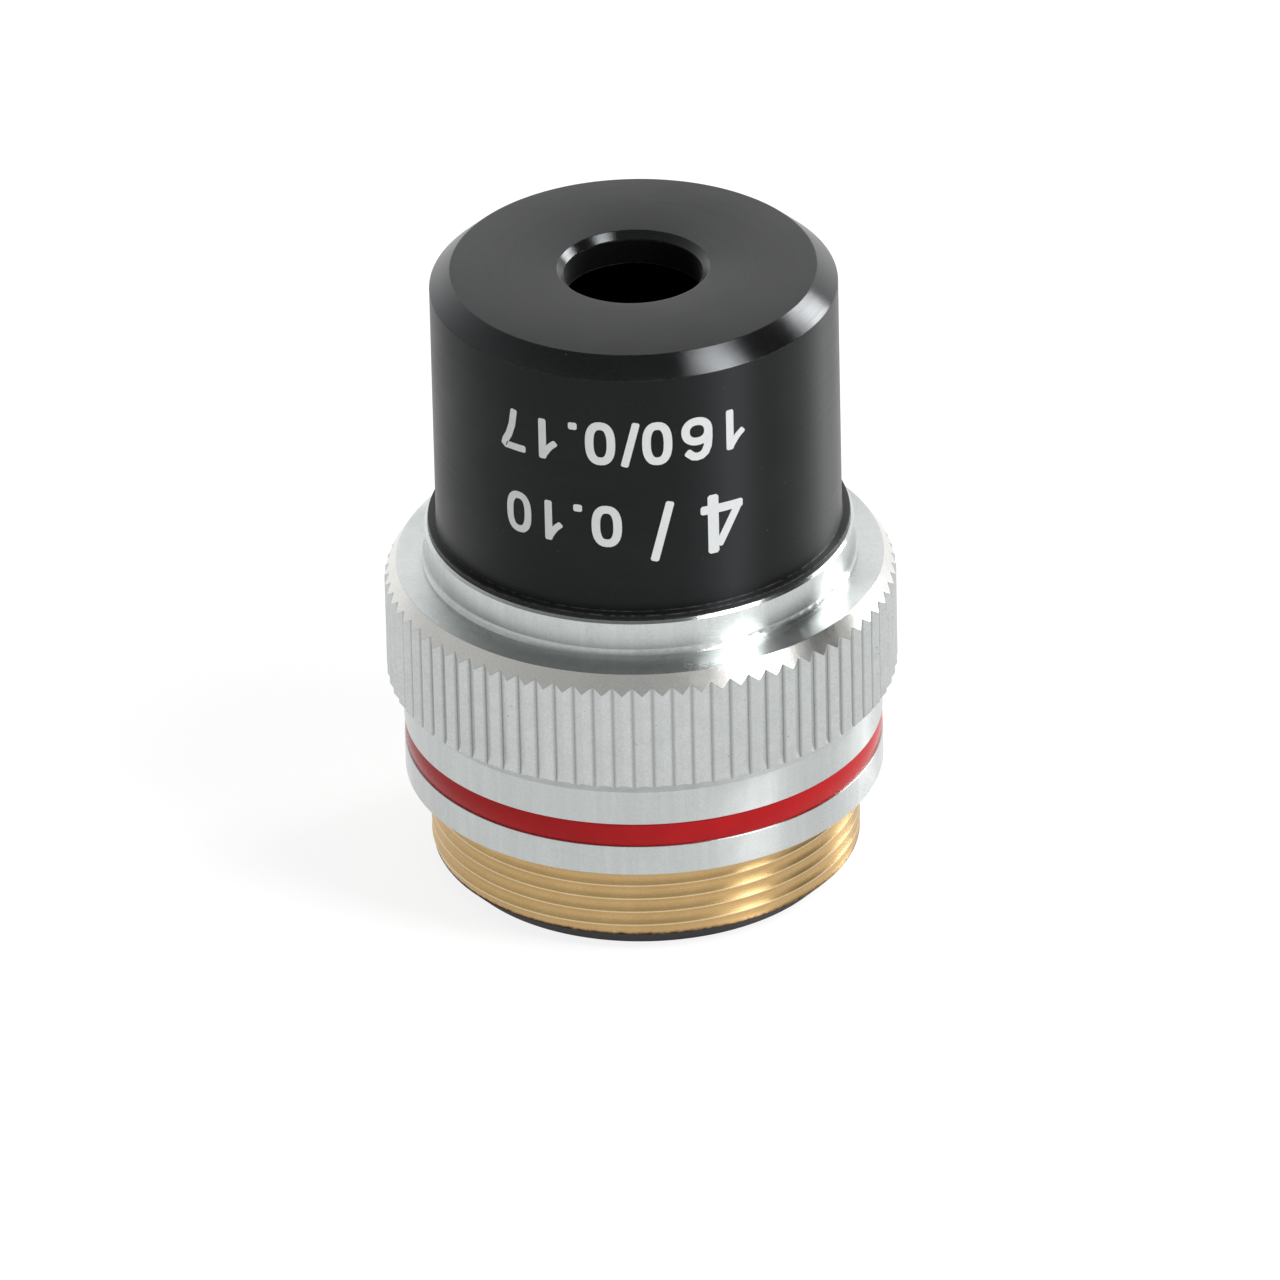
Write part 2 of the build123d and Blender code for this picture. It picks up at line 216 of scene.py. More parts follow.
def grip_outline(azimuth):
    radius = knurl_radius(azimuth)
    foot_share = (radius - BAND_RADIUS) / (RIDGE_RADIUS - BAND_RADIUS)
    knurl_foot = BAND_HEAD + FOOT_CHAMFER_RISE * foot_share
    head_share = (RIDGE_RADIUS - radius) / (RIDGE_RADIUS - GRIP_HEAD_RADIUS)
    knurl_head = GRIP_HEAD - HEAD_CHAMFER_RISE + HEAD_CHAMFER_RISE * head_share
    return broken(
        [
            (GRIP_BORE, SHOULDER_HEIGHT), (BAND_RADIUS - BAND_BREAK, SHOULDER_HEIGHT),
            (BAND_RADIUS, SHOULDER_HEIGHT + BAND_BREAK), (BAND_RADIUS, GROOVE_FOOT),
            (GROOVE_RADIUS, GROOVE_FOOT), (GROOVE_RADIUS, GROOVE_HEAD), (BAND_RADIUS, GROOVE_HEAD),
            (BAND_RADIUS, BAND_HEAD), (radius, knurl_foot), (radius, knurl_head),
            (GRIP_HEAD_RADIUS, GRIP_HEAD), (GRIP_BORE, GRIP_HEAD),
        ],
        GRIP_EDGE,
    )


tooth_shares = (0, 0.05, 0.25, 0.45, 0.49, 0.51, 0.55, 0.75, 0.95)
knurl_azimuths = [
    FIRST_VALLEY + math.tau * (tooth + share) / TEETH for tooth in range(TEETH) for share in tooth_shares
]
grip = turned("grip_ring_knurled", grip_outline, knurl_azimuths)
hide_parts("grip_ring")

# Thread mount: 36 turns an inch, right-handed and as shallow as the photograph shows it, with a lead
# chamfer and a plain bore
PITCH = 25.4 / 36
CREST_RADIUS = 10.1
THREAD_DEPTH = 0.10
CREST_FLAT = PITCH / 14
CREST_HEIGHT = 2.165 + PITCH / 4
LEAD_RADIUS, LEAD_ROW_STEP, LEAD_ROWS = 9.13, 0.05, 23
MOUNT_FOOT_BORE, MOUNT_BORE, MOUNT_FOOT_DEPTH = 8.15, 7.6, 2.0
NECK_RADIUS, NECK_CHAMFER, NECK_CHAMFER_FOOT, MOUNT_HEAD = 9.0, 0.3, 8.3, 8.6


def thread_radius(azimuth, height):
    """Radius of the thread, cut back to the cone of its lead chamfer."""
    turns = (height - CREST_HEIGHT) / PITCH - azimuth / math.tau
    from_crest = abs(turns - round(turns)) * PITCH
    share = max(from_crest - CREST_FLAT / 2, 0) / (PITCH - CREST_FLAT)
    return min(CREST_RADIUS - THREAD_DEPTH * math.sin(math.pi * share), LEAD_RADIUS + height)


def mount_outline(azimuth):
    """The section of the mount. Its rows follow the crests, which climb one pitch in a turn."""
    first_crest = CREST_HEIGHT + PITCH * azimuth / math.tau
    heights = [LEAD_ROW_STEP * (step + 1) for step in range(LEAD_ROWS)]
    for turns in range(-5, 5):
        crest = first_crest + PITCH * turns
        for share in (0, 0.1, 0.2, 0.3, 0.4):
            offset = CREST_FLAT / 2 + share * (PITCH - CREST_FLAT)
            heights += [crest - offset, crest + offset]
        heights.append(crest + PITCH / 2)
    heights = sorted(min(max(height, 0.0), SHOULDER_HEIGHT) for height in heights)
    below = [(MOUNT_FOOT_BORE, 0.0), (LEAD_RADIUS, 0.0)]
    screw = [(thread_radius(azimuth, height), height) for height in heights]
    above = [
        (NECK_RADIUS, SHOULDER_HEIGHT), (NECK_RADIUS, NECK_CHAMFER_FOOT),
        (NECK_RADIUS - NECK_CHAMFER, MOUNT_HEAD), (MOUNT_BORE, MOUNT_HEAD), (MOUNT_BORE, MOUNT_FOOT_DEPTH),
        (MOUNT_FOOT_BORE, MOUNT_FOOT_DEPTH),
    ]
    return below + screw + above


mount = turned("mount_threaded", mount_outline, even_azimuths(360) + [math.tau], welded=True)
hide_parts("thread_mount")


# Lettering: plain optical numbers in white paint, which read upright with the nose down
PAINT_HEIGHT, PAINT_ROOT = 0.012, 0.010
STROKE_RISE = 0.001
STROKE_RUN = 0.3
END_WIDTH, END_BEND = 0.65, 0.4


def oval(middle, rise, power, count=28):
    """A closed rounded path in a unit box, with straighter sides the higher its power."""
    path = []
    for index in range(count):
        angle = math.tau * index / count
        along, up = math.sin(angle), math.cos(angle)
        along = math.copysign(abs(along) ** (2 / power), along)
        up = math.copysign(abs(up) ** (2 / power), up)
        path.append((0.5 + 0.5 * along, middle + rise * up))
    return path


# Each glyph is a list of strokes: a path in a unit box, whether it is closed, and its share of the width
GLYPHS = {
    "0": [(oval(0.5, 0.5, 2.5), True, 1)],
    "1": [
        ([(1, 0), (1, 1)], False, 1),
        ([(0.85, 0.95), (0.55, 0.81), (0.28, 0.71), (0.02, 0.64)], False, 0.85),
    ],
    "4": [
        ([(0, 0.21), (1, 0.21)], False, 1), ([(0.74, 0), (0.74, 1)], False, 1.2),
        ([(0.07, 0.30), (0.58, 0.92)], False, 0.9),
    ],
    "6": [
        (oval(0.285, 0.285, 2.2), True, 1),
        (
            [
                (0, 0.3), (0, 0.52), (0.04, 0.74), (0.15, 0.9), (0.32, 0.98), (0.5, 1), (0.68, 0.98),
                (0.84, 0.9),
            ],
            False, 1,
        ),
    ],
    "7": [
        ([(0, 1), (0.9, 1), (0.98, 0.96), (0.93, 0.87), (0.72, 0.66), (0.54, 0.36), (0.44, 0)], False, 1),
    ],
    "/": [([(0, 0), (1, 1)], False, 1)],
    ".": [([(0, 0.5), (1, 0.5)], False, 1)],
}


def finer(path, closed, step):
    """The path with points added so that its runs follow the round of the barrel."""
    points = [Vector(point) for point in path]
    ends = points[1:] + points[:1] if closed else points[1:]
    made = []
    for start, end in zip(points, ends):
        count = max(1, math.ceil((end - start).length / step))
        made += [start.lerp(end, index / count) for index in range(count)]
    return made if closed else made + [points[-1]]


def stroke_points(path, closed, half):
    """The middle of a stroke of this half width, with open ends carried on and drawn in."""
    points = finer(path, closed, STROKE_RUN)
    if not closed:
        points.insert(0, points[0] + (points[0] - points[1]).normalized() * half)
        points.append(points[-1] + (points[-1] - points[-2]).normalized() * half)
        points.insert(1, points[0].lerp(points[1], END_BEND))
        points.insert(-1, points[-1].lerp(points[-2], END_BEND))
    return points


def stroke_sides(points, closed, half):
    """From each point, the way to the stroke's edge."""
    count = len(points)
    sides = []
    for index, point in enumerate(points):
        before = points[index - 1] if closed or index else point
        after = points[(index + 1) % count] if closed or index + 1 < count else point
        into = (point - before).normalized() if before != point else (after - point).normalized()
        out = (after - point).normalized() if after != point else into
        along = (into + out).normalized()
        rounded = END_WIDTH if not closed and index in (0, count - 1) else 1
        sides.append(Vector((-along.y, along.x)) * (half * rounded / max(along.dot(into), 0.5)))
    return sides


def painted(name, text, boxes):
    """White figures on the barrel. A box is the left edge, width, foot, height and stroke, in mm."""
    vertices, faces = [], []
    inner = BARREL_RADIUS - PAINT_ROOT
    for glyph, (left, width, foot, height, stroke) in zip(text, boxes):
        for layer, (path, closed, weight) in enumerate(GLYPHS[glyph]):
            half = stroke / 2 * weight
            sized = [(half + x * (width - stroke), half + y * (height - stroke)) for x, y in path]
            points = stroke_points(sized, closed, half)
            count = len(points)
            start = len(vertices)
            outer = BARREL_RADIUS + PAINT_HEIGHT + STROKE_RISE * layer
            for point, across in zip(points, stroke_sides(points, closed, half)):
                for edge, radius in ((-1, inner), (-1, outer), (1, outer), (1, inner)):
                    spot = point + edge * across
                    around = (left - spot.x) / BARREL_RADIUS
                    x, y = radius * MM * math.sin(around), -radius * MM * math.cos(around)
                    vertices.append((x, y, (foot - spot.y) * MM))
            for index in range(count if closed else count - 1):
                here = start + 4 * index
                there = start + 4 * ((index + 1) % count)
                for side in range(4):
                    other = (side + 1) % 4
                    faces.append((here + side, here + other, there + other, there + side))
            if not closed:
                faces.append(tuple(start + side for side in (3, 2, 1, 0)))
                faces.append(tuple(start + 4 * (count - 1) + side for side in range(4)))
    return piece(name, vertices, faces)


UPPER_FOOT, LOWER_FOOT = 27.95, 23.55
upper_line = painted(
    "figures_tube_and_cover",
    "160/0.17",
    [
        (5.20, 0.95, UPPER_FOOT + 0.02, 2.10, 0.38), (3.55, 1.50, UPPER_FOOT, 2.26, 0.40),
        (1.62, 1.40, UPPER_FOOT, 2.26, 0.40), (0.10, 0.86, UPPER_FOOT, 2.32, 0.36),
        (-1.02, 1.42, UPPER_FOOT, 2.26, 0.40), (-2.82, 0.42, UPPER_FOOT - 0.15, 0.38, 0.37),
        (-3.82, 0.92, UPPER_FOOT - 0.23, 2.09, 0.38), (-5.46, 1.38, UPPER_FOOT - 0.15, 2.15, 0.36),
    ],
)
lower_line = painted(
    "figures_power_and_aperture",
    "4/0.10",
    [
        (5.03, 2.14, LOWER_FOOT + 0.17, 3.00, 0.45), (1.62, 1.10, LOWER_FOOT + 0.17, 3.10, 0.40),
        (-0.80, 1.42, LOWER_FOOT, 2.18, 0.40), (-2.66, 0.42, LOWER_FOOT - 0.06, 0.38, 0.37),
        (-3.65, 0.87, LOWER_FOOT - 0.10, 2.08, 0.37), (-5.24, 1.36, LOWER_FOOT - 0.05, 2.14, 0.36),
    ],
)


# Materials
ALONG_AXIS = 0.25


class Nodes:
    """A node tree whose nodes are made with their sockets and settings given by name."""

    def __init__(self, tree):
        self.tree = tree

    def connect(self, node, values):
        for socket, value in values.items():
            if isinstance(value, bpy.types.NodeSocket):
                self.tree.links.new(value, node.inputs[socket])
            else:
                node.inputs[socket].default_value = value

    def node(self, kind, values=None, output=0, **settings):
        made = self.tree.nodes.new("ShaderNode" + kind)
        for key, value in settings.items():
            setattr(made, key, value)
        self.connect(made, values or {})
        return made.outputs[output]

    def math(self, operation, first, second=0.0, third=0.0):
        return self.node("Math", {0: first, 1: second, 2: third}, operation=operation)

    def scale(self, value, low, high, to_low, to_high, **settings):
        keys = {"Value": value, "From Min": low, "From Max": high, "To Min": to_low, "To Max": to_high}
        return self.node("MapRange", keys, **settings)


class Finish(Nodes):
    """A material made of nodes, with the sockets of its shader given by name."""

    def __init__(self, name, values):
        self.material = bpy.data.materials.new(name)
        self.material.use_nodes = True
        super().__init__(self.material.node_tree)
        self.shader = self.tree.nodes["Principled BSDF"]
        self.drive(values)

    def drive(self, values):
        self.connect(self.shader, values)

    def blend(self, share, first, second):
        """A colour between two colours."""
        made = self.tree.nodes.new("ShaderNodeMix")
        made.data_type = "RGBA"
        self.connect(made, {"Factor": share})
        for socket, value in ((made.inputs[6], first), (made.inputs[7], second)):
            if isinstance(value, bpy.types.NodeSocket):
                self.tree.links.new(value, socket)
            else:
                socket.default_value = value
        return made.outputs[2]

    def place(self):
        return self.node("TexCoord", output="Object")

    def noise(self, size, detail=2.0, roughness=0.5):
        """Even noise whose grains are about this many millimetres across."""
        values = {"Scale": 1 / (size * MM), "Detail": detail, "Roughness": roughness}
        return self.node("TexNoise", {"Vector": self.place(), **values})

    def turning_marks(self, size, detail=3.0, sweep=1.5):
        """Noise drawn out round the axis, so that it makes rings this many millimetres apart."""
        height = self.node("SeparateXYZ", {0: self.place()}, output="Z")
        direction = self.node("VectorMath", {0: self.across()}, operation="NORMALIZE")
        heading = self.node("SeparateXYZ", {0: direction}, output="X").node
        grain = 1 / (size * MM)
        vector = self.node(
            "CombineXYZ",
            {
                "X": self.math("MULTIPLY", self.radius(), grain),
                "Y": self.math("MULTIPLY", height, grain),
                "Z": self.math("MULTIPLY", heading.outputs["X"], sweep),
            },
        )
        values = {
            "Vector": vector, "W": self.math("MULTIPLY", heading.outputs["Y"], sweep),
            "Scale": 1.0, "Detail": detail, "Roughness": 0.6,
        }
        return self.node("TexNoise", values, noise_dimensions="4D")

    def across(self):
        """The place with its height taken out."""
        return self.node("VectorMath", {0: self.place(), 1: (1, 1, 0)}, operation="MULTIPLY")

    def radius(self):
        """The distance from the axis."""
        return self.node("VectorMath", {0: self.across()}, output="Value", operation="LENGTH")

    def bump(self, height, depth, normal=None):
        """A normal for a relief this many millimetres deep."""
        values = {"Height": height, "Distance": depth * MM, "Strength": 1.0}
        if normal is not None:
            values["Normal"] = normal
        return self.node("Bump", values)

    def speckled(self, colour, size, depth):
        """The colour with fine grain, lighter and darker by up to this share."""
        grain = self.scale(self.noise(size, 2.0, 0.7), 0.3, 0.7, 1 - depth, 1 + depth)
        return self.node("VectorMath", {0: colour, "Scale": grain}, operation="SCALE")

    def streaks(self, width, length):
        """Noise drawn out along the axis, this many millimetres wide and long."""
        values = {"Vector": self.place(), "Scale": (1 / (width * MM), 1 / (width * MM), 1 / (length * MM))}
        drawn = self.node("Mapping", values, vector_type="POINT")
        return self.node("TexNoise", {"Vector": drawn, "Scale": 1.0, "Detail": 3.0, "Roughness": 0.6})

    def edge(self, size, gain=6.0):
        """About 1 at outer and inner edges and 0 on open surfaces."""
        rounded = self.node("Bevel", {"Radius": size * MM}, samples=6)
        true = self.node("NewGeometry", output="Normal")
        alike = self.node("VectorMath", {0: rounded, 1: true}, output="Value", operation="DOT_PRODUCT")
        difference = self.math("SUBTRACT", 1.0, alike)
        return self.node("Clamp", {"Value": self.math("MULTIPLY", difference, gain)})

    def axis_tangent(self):
        return self.node("Tangent", direction_type="RADIAL", axis="Z")


def grey(level, tint=(1.0, 1.0, 1.0)):
    return (level * tint[0], level * tint[1], level * tint[2], 1.0)


def black_anodised(name, gloss, drawn, smooth, rough, sheen=0.3, sparkle=0.0):
    """Black anodising: its gloss, how far highlights are drawn out, its roughness and its velvet."""
    finish = Finish(
        name,
        {
            "Specular IOR Level": gloss, "Anisotropic": drawn, "Anisotropic Rotation": ALONG_AXIS,
            "Specular Tint": (0.92, 0.97, 1.0, 1), "Sheen Weight": sheen, "Sheen Roughness": 0.3,
        },
    )
    marks = finish.turning_marks(0.14)
    grain = finish.noise(0.05, 2.0)
    smudge = finish.noise(4.0, 3.0)
    patchy = finish.scale(finish.noise(0.3), 0.40, 0.60, 0.0, 0.8)
    # Edges lightened in colour, in patches: partly rubbed anodising, partly a painted highlight along the
    # edge breaks
    edge_wear_and_highlight = finish.math("MULTIPLY", finish.edge(0.08, 9.0), patchy)
    colour = finish.blend(smudge, grey(0.0015, (1.0, 1.0, 1.05)), grey(0.003, (1.0, 1.0, 1.02)))
    specks = finish.scale(finish.noise(0.07, 2.0, 0.7), 0.45, 0.70, 0.0, 1.0)
    colour = finish.blend(specks, colour, grey(0.006 + sparkle))
    dust = finish.scale(finish.noise(0.12, 1.0), 0.80, 0.83, 0.0, 1.0)
    colour = finish.blend(dust, colour, grey(0.12))
    colour = finish.blend(edge_wear_and_highlight, colour, grey(0.16))
    uneven = finish.math("MULTIPLY_ADD", marks, 0.12, finish.scale(smudge, 0.3, 0.7, smooth, rough))
    relief = finish.bump(grain, 0.0018 + 0.05 * sparkle, finish.bump(marks, 0.0016))
    finish.drive(
        {"Base Color": colour, "Roughness": uneven, "Normal": relief, "Tangent": finish.axis_tangent()}
    )
    return finish.material


def turned_aluminium(name, level, rough):
    """Turned aluminium of this grey and roughness, with fine marks round it and faint streaks along it."""
    finish = Finish(name, {"Metallic": 1.0, "Anisotropic": 1.0, "Anisotropic Rotation": ALONG_AXIS})
    marks = finish.turning_marks(0.11)
    broad = finish.turning_marks(0.6, 2.0, 2.5)
    cloud = finish.noise(1.6, 4.0)
    dull = finish.scale(finish.streaks(0.5, 6.0), 0.35, 0.65, 0.3, 0.0)
    low, high = grey(level * 0.90, (0.95, 1.0, 0.985)), grey(level * 1.08, (0.955, 1.0, 0.99))
    colour = finish.blend(cloud, low, high)
    colour = finish.blend(dull, colour, grey(level * 0.75, (0.97, 1.0, 0.98)))
    colour = finish.speckled(colour, 0.10, 0.06)
    uneven = finish.math("MULTIPLY_ADD", broad, 0.03, finish.scale(cloud, 0.3, 0.7, rough, rough + 0.04))
    relief = finish.bump(marks, 0.0007, finish.bump(broad, 0.0005))
    finish.drive(
        {"Base Color": colour, "Roughness": uneven, "Normal": relief, "Tangent": finish.axis_tangent()}
    )
    return finish.material


def faced_aluminium():
    shine = {"Metallic": 1.0, "Anisotropic": 0.8, "Anisotropic Rotation": ALONG_AXIS}
    finish = Finish("faced_aluminium", shine)
    marks = finish.turning_marks(0.12)
    cloud = finish.noise(1.2, 4.0)
    colour = finish.blend(cloud, grey(0.66, (1.0, 0.995, 0.95)), grey(0.78, (1.0, 0.995, 0.96)))
    colour = finish.speckled(colour, 0.10, 0.06)
    finish.drive(
        {
            "Base Color": colour, "Roughness": finish.scale(cloud, 0.3, 0.7, 0.24, 0.31),
            "Normal": finish.bump(marks, 0.0015), "Tangent": finish.axis_tangent(),
        }
    )
    return finish.material


def knurled_aluminium():
    finish = Finish("knurled_aluminium", {"Metallic": 1.0})
    grain = finish.noise(0.04, 3.0, 0.7)
    cloud = finish.noise(0.8, 4.0)
    pits = finish.scale(finish.noise(0.22, 2.0), 0.73, 0.78, 0.0, 1.0)
    colour = finish.blend(cloud, grey(0.46, (0.96, 1.0, 0.985)), grey(0.57, (0.965, 1.0, 0.985)))
    # Painted shade: the colour darkens towards the bottom of each valley between the teeth
    valley = RIDGE_RADIUS - TOOTH_DEPTH
    root = finish.scale(finish.radius(), (valley + 0.01) * MM, (valley + 0.07) * MM, 0.65, 0.0)
    colour = finish.blend(root, colour, grey(0.24, (0.97, 1.0, 0.98)))
    colour = finish.speckled(colour, 0.09, 0.09)
    colour = finish.blend(pits, colour, grey(0.16))
    uneven = finish.scale(cloud, 0.3, 0.7, 0.17, 0.23)
    finish.drive({"Base Color": colour, "Roughness": uneven, "Normal": finish.bump(grain, 0.005)})
    return finish.material


def red_enamel():
    finish = Finish("glossy_red_enamel", {"Specular IOR Level": 0.14, "Roughness": 0.24})
    peel = finish.noise(0.5, 2.0)
    cloud = finish.noise(1.5, 3.0)
    colour = finish.blend(cloud, (0.33, 0.004, 0.006, 1), (0.43, 0.007, 0.009, 1))
    finish.drive({"Base Color": colour, "Normal": finish.bump(peel, 0.004)})
    return finish.material


def threaded_brass():
    finish = Finish("threaded_brass", {"Anisotropic": 1.0, "Anisotropic Rotation": ALONG_AXIS})
    marks = finish.turning_marks(0.07)
    cloud = finish.noise(1.2, 4.0)
    height = finish.node("SeparateXYZ", {0: finish.place()}, output="Z")
    ragged = finish.math("MULTIPLY_ADD", finish.noise(0.35, 4.0, 0.7), 0.22 * MM, height)
    black = finish.scale(ragged, 1.03 * MM, 1.08 * MM, 1.0, 0.0)
    rust = finish.scale(ragged, 1.07 * MM, 1.16 * MM, 0.7, 0.0)
    brass = finish.blend(cloud, (0.50, 0.33, 0.14, 1), (0.60, 0.41, 0.19, 1))
    # Painted highlight: the colour is lighter along the flat of each crest, to draw the bright crest lines
    low, high = (CREST_RADIUS - 0.012) * MM, (CREST_RADIUS - 0.003) * MM
    crest = finish.scale(finish.radius(), low, high, 0.0, 0.7)
    brass = finish.blend(crest, brass, (0.80, 0.63, 0.38, 1))
    brass = finish.speckled(brass, 0.06, 0.10)
    colour = finish.blend(rust, brass, (0.16, 0.05, 0.025, 1))
    colour = finish.blend(black, colour, grey(0.012))
    metal = finish.math("SUBTRACT", 1.0, black)
    uneven = finish.math("MULTIPLY_ADD", black, 0.3, finish.scale(marks, 0.3, 0.7, 0.25, 0.31))
    finish.drive(
        {
            "Base Color": colour, "Metallic": metal, "Roughness": uneven,
            "Normal": finish.bump(marks, 0.0012), "Tangent": finish.axis_tangent(),
        }
    )
    return finish.material


def blackened_brass():
    finish = Finish("blackened_brass", {"Metallic": 0.6, "Specular IOR Level": 0.3})
    marks = finish.turning_marks(0.12)
    cloud = finish.noise(0.9, 4.0)
    patchy = finish.scale(finish.noise(0.2), 0.5, 0.6, 0.0, 0.7)
    edge_wear_and_highlight = finish.math("MULTIPLY", finish.edge(0.04, 5.0), patchy)
    colour = finish.blend(cloud, (0.012, 0.011, 0.010, 1), (0.026, 0.023, 0.020, 1))
    colour = finish.blend(edge_wear_and_highlight, colour, (0.30, 0.20, 0.09, 1))
    uneven = finish.scale(cloud, 0.3, 0.7, 0.40, 0.56)
    finish.drive({"Base Color": colour, "Roughness": uneven, "Normal": finish.bump(marks, 0.003)})
    return finish.material


def rolled_brass():
    finish = Finish("rolled_brass", {"Metallic": 1.0})
    cloud = finish.noise(0.7, 4.0)
    colour = finish.blend(cloud, (0.55, 0.39, 0.18, 1), (0.68, 0.50, 0.26, 1))
    finish.drive({"Base Color": colour, "Roughness": finish.scale(cloud, 0.3, 0.7, 0.25, 0.4)})
    return finish.material


def bright_steel():
    finish = Finish("bright_steel", {"Metallic": 1.0})
    grain = finish.noise(0.08, 3.0)
    colour = finish.blend(grain, grey(0.40), grey(0.55))
    finish.drive({"Base Color": colour, "Roughness": finish.scale(grain, 0.3, 0.7, 0.25, 0.4)})
    return finish.material


def coated_glass(name, index, tint):
    finish = Finish(name, {"Base Color": tint, "IOR": index, "Transmission Weight": 1.0})
    dust = finish.scale(finish.noise(0.25, 3.0), 0.66, 0.72, 0.02, 0.25)
    finish.drive({"Roughness": dust})
    return finish.material


def white_paint():
    finish = Finish("white_paint", {"Specular IOR Level": 0.3})
    grain = finish.noise(0.06, 3.0)
    colour = finish.blend(grain, grey(0.60, (0.97, 1.0, 1.0)), grey(0.72, (0.975, 1.0, 1.0)))
    finish.drive({"Base Color": colour, "Roughness": 0.5, "Normal": finish.bump(grain, 0.004)})
    return finish.material


finishes = {
    "barrel_black": black_anodised("black_anodised", gloss=0.27, drawn=1.0, smooth=0.30, rough=0.36),
    "collar_aluminium": turned_aluminium("turned_collar", 0.64, 0.20),
    "grip_aluminium": turned_aluminium("turned_grip", 0.60, 0.25),
    "red_enamel": red_enamel(),
    "thread_brass": threaded_brass(),
    "blackened_brass": blackened_brass(),
    "shim_brass": rolled_brass(),
    "screw_steel": bright_steel(),
    "crown_glass": coated_glass("crown_glass_coated", 1.52, (0.96, 0.98, 1.0, 1)),
    "flint_glass": coated_glass("flint_glass_coated", 1.65, (0.99, 0.97, 0.93, 1)),
}
for subpart in frame["record"]["subparts"]:
    nodes[subpart["node"]].material_slots[0].material = finishes[subpart["material_slot"]]

# Faces in each row, counted up the outline: three on the rounding of a corner, then the flat after it
BARREL_FINISHES = [
    (finishes["barrel_black"], ()),
    (
        black_anodised(
            "black_anodised_worn", gloss=0.60, drawn=1.0, smooth=0.14, rough=0.20, sheen=0.0, sparkle=0.004
        ),
        (18, 19, 20, 21, 26, 27),
    ),
    (black_anodised("black_anodised_face", gloss=0.32, drawn=0.35, smooth=0.30, rough=0.36), range(22, 26)),
    (black_anodised("black_anodised_bore", gloss=0.05, drawn=0.0, smooth=0.55, rough=0.65), range(28, 60)),
]
GRIP_FINISHES = [
    (finishes["grip_aluminium"], ()), (knurled_aluminium(), range(33, 38)), (faced_aluminium(), (39,)),
]
paint = white_paint()
for made, material in (
    (enamel, finishes["red_enamel"]), (mount, finishes["thread_brass"]),
    (upper_line, paint), (lower_line, paint),
):
    made.data.materials.append(material)


def crisp_borders(made):
    """Sharp edges where one finish meets another, so that each surface keeps its true shading."""
    finishes_at = {}
    for face in made.data.polygons:
        for key in face.edge_keys:
            finishes_at.setdefault(key, set()).add(face.material_index)
    for edge in made.data.edges:
        if len(finishes_at[edge.key]) > 1:
            edge.use_edge_sharp = True


for made, row_finishes in ((barrel, BARREL_FINISHES), (grip, GRIP_FINISHES)):
    row_count = len(barrel_outline if made is barrel else grip_outline(0.0))
    for index, (material, rows) in enumerate(row_finishes):
        made.data.materials.append(material)
        for face in made.data.polygons:
            if face.index % row_count in rows:
                face.material_index = index
    crisp_borders(made)

# Floor, world and lamps
FLOOR_GREY = 0.9
FLOOR_GLOW, FLOOR_GLOW_SHARE = 1.12, 0.75
FLOOR_REACH = 6.0


def floor_finish():
    """Pale and matt, and nearly white to the camera, to metal and to glass, apart from the shadow."""
    material = bpy.data.materials.new("pale_floor")
    material.use_nodes = True
    made = Nodes(material.node_tree)
    made.tree.nodes.clear()
    lit = made.node("BsdfDiffuse", {"Color": grey(FLOOR_GREY)})
    white = made.node("Emission", {"Strength": FLOOR_GLOW})
    path = made.node("LightPath").node
    seen = made.math("MAXIMUM", path.outputs["Is Camera Ray"], path.outputs["Is Glossy Ray"])
    seen = made.math("MAXIMUM", seen, path.outputs["Is Transmission Ray"])
    bright = made.node("MixShader", {0: FLOOR_GLOW_SHARE, 1: lit, 2: white})
    shown = made.node("MixShader", {0: seen, 1: lit, 2: bright})
    made.connect(made.tree.nodes.new("ShaderNodeOutputMaterial"), {"Surface": shown})
    return material


floor_mesh = bpy.data.meshes.new("floor")
floor_corners = [(x * FLOOR_REACH, y * FLOOR_REACH, 0) for x, y in ((-1, -1), (1, -1), (1, 1), (-1, 1))]
floor_mesh.from_pydata(floor_corners, [], [(0, 1, 2, 3)])
floor = bpy.data.objects.new("floor", floor_mesh)
bpy.context.scene.collection.objects.link(floor)
floor_mesh.materials.append(floor_finish())

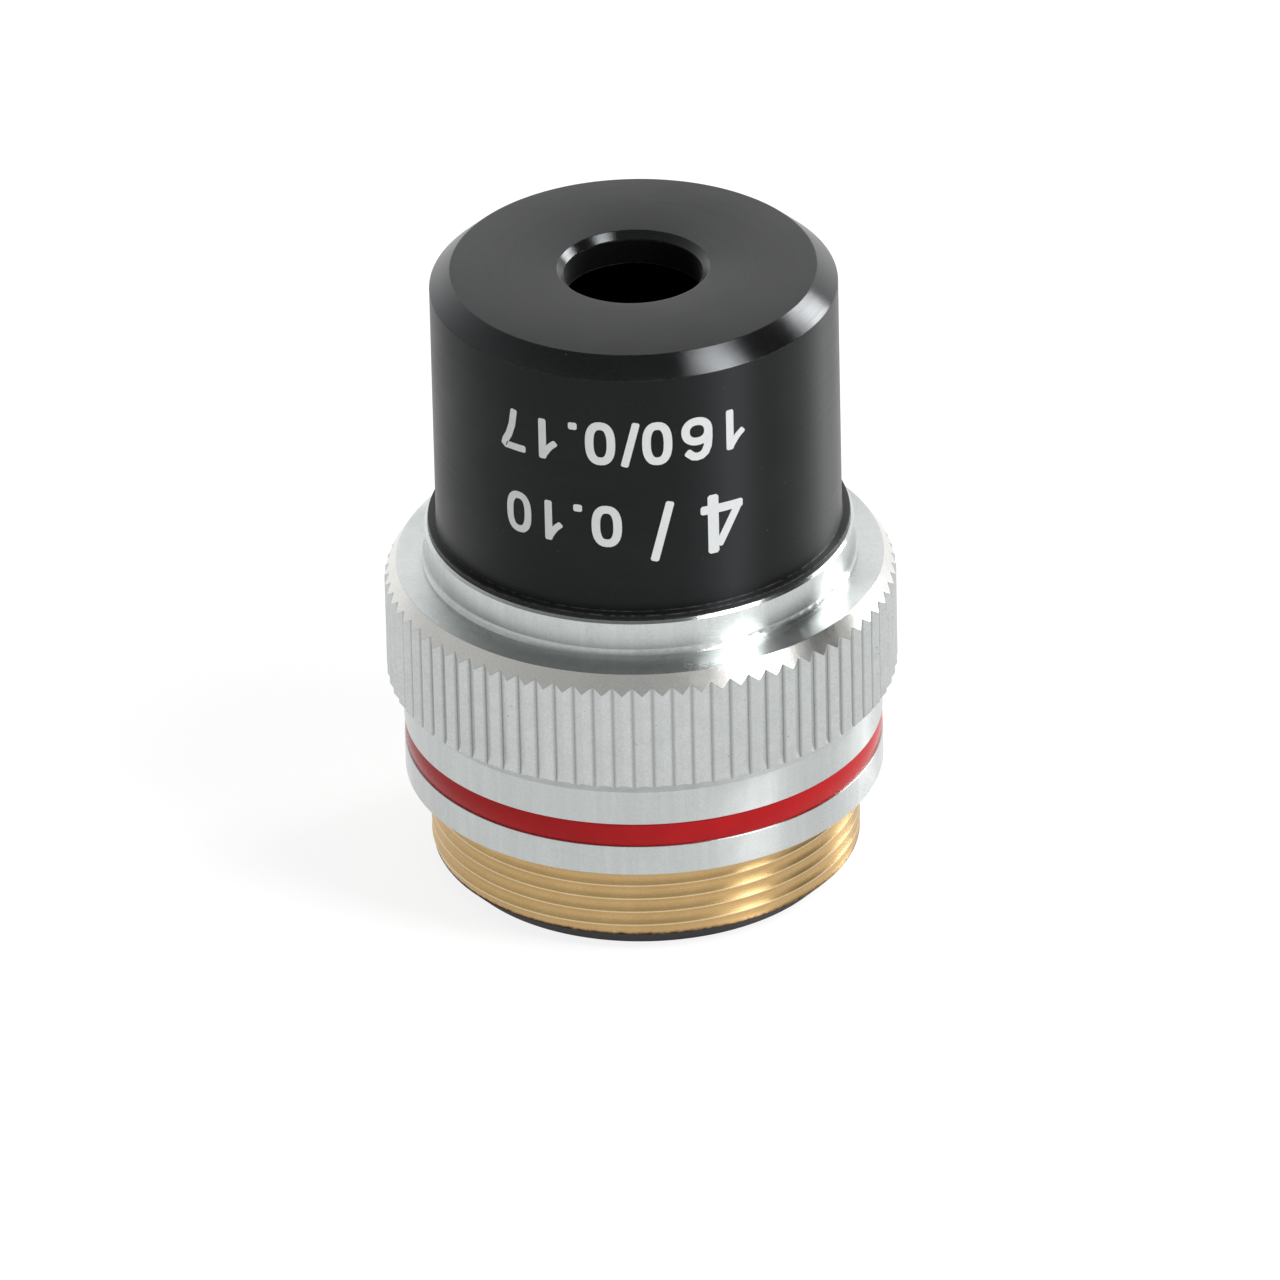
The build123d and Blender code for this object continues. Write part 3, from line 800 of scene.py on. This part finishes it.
# A soft sky: brighter near the horizon and behind, with a dark gap towards the right
GAP_AZIMUTH = math.radians(94)
world = bpy.data.worlds.new("studio")
bpy.context.scene.world = world
world.use_nodes = True
sky = Nodes(world.node_tree)
direction = sky.node("SeparateXYZ", {0: sky.node("TexCoord", output="Generated")}).node
level = sky.node("CombineXYZ", {"X": direction.outputs["X"], "Y": direction.outputs["Y"]})
heading = sky.node("VectorMath", {0: level}, operation="NORMALIZE")
gap_heading = (math.sin(GAP_AZIMUTH), -math.cos(GAP_AZIMUTH), 0)
toward = sky.node("VectorMath", {0: heading, 1: gap_heading}, output="Value", operation="DOT_PRODUCT")
overhead = sky.scale(direction.outputs["Z"], 0.45, 0.85, 0.60, 0.12, interpolation_type="SMOOTHSTEP")
behind = sky.scale(direction.outputs["Y"], 0.3, 1.05, 0.0, 0.8, interpolation_type="SMOOTHSTEP")
gap = sky.scale(toward, 0.93, 0.985, 1.0, 0.05, interpolation_type="SMOOTHSTEP")
strength = sky.math("MULTIPLY", sky.math("ADD", overhead, behind), gap)
sky.connect(sky.tree.nodes["Background"], {"Color": (1, 1, 1, 1), "Strength": strength})


def softbox(name, azimuth, rise, distance, width, height, watts):
    """A soft lamp at an azimuth from the camera towards the right, aimed at the objective."""
    lamp = bpy.data.objects.new(name, bpy.data.lights.new(name, "AREA"))
    bpy.context.scene.collection.objects.link(lamp)
    lamp.data.shape = "RECTANGLE"
    lamp.data.size, lamp.data.size_y = width, height
    lamp.data.energy = watts
    around, above = math.radians(azimuth), math.radians(rise)
    level_reach = math.cos(above)
    outward = Vector((math.sin(around) * level_reach, -math.cos(around) * level_reach, math.sin(above)))
    lamp.location = CAMERA_TARGET + distance * outward
    lamp.rotation_mode = "QUATERNION"
    lamp.rotation_quaternion = outward.to_track_quat("Z", "Y")
    lamp.visible_camera = False


softbox("lamp_right", azimuth=60, rise=46, distance=0.6, width=0.16, height=0.42, watts=3.0)
softbox("lamp_right_behind", azimuth=123, rise=25, distance=0.6, width=0.16, height=0.32, watts=2.1)

bpy.context.scene.view_settings.view_transform = "Standard"
